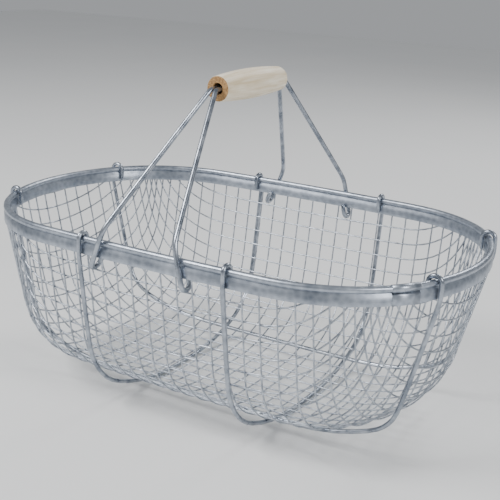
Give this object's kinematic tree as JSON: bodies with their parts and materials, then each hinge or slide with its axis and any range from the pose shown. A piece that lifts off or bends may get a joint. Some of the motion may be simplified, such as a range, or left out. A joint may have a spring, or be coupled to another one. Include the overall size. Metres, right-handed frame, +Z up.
{
  "type": "wire trug garden basket",
  "caption": "Oblong galvanised wire-mesh garden trug with a folded sheet rim, hooked rib wires and an upright two-wire handle with a turned wooden grip.",
  "frame": {"origin": "centre of the basket's box, on the ground it stands on", "axes": "+Z up, +X along the basket, +Y across it"},
  "size_m": [0.5064, 0.3302, 0.3302],
  "materials": {
    "rim_sheet": "hot-dip galvanised sheet",
    "mesh_wire": "galvanised mesh wire",
    "rib_wire": "galvanised drawn wire",
    "grip_wood": "turned pale wood, waxed"
  },
  "bodies": {
    "basket": {"rim_band": "rim_sheet", "rim_edge_wire": "rib_wire", "mesh_lengthwise": "mesh_wire", "mesh_crosswise": "mesh_wire", "rib_long_front": "rib_wire", "rib_long_back": "rib_wire", "rib_cross_left": "rib_wire", "rib_cross_right": "rib_wire"},
    "handle": {"handle_wire_left": "rib_wire", "handle_wire_right": "rib_wire"},
    "grip": {"grip": "grip_wood"}
  },
  "joints": [
    {"name": "handle_lift", "type": "slide", "parent": "basket", "child": "handle", "axis": [0, 0, 1], "range_m": [0, 0.007]},
    {"name": "grip_turn", "type": "hinge", "parent": "handle", "child": "grip", "pos_m": [0.004, 0, 0.31575], "axis": [0, 1, 0], "continuous": true}
  ]
}
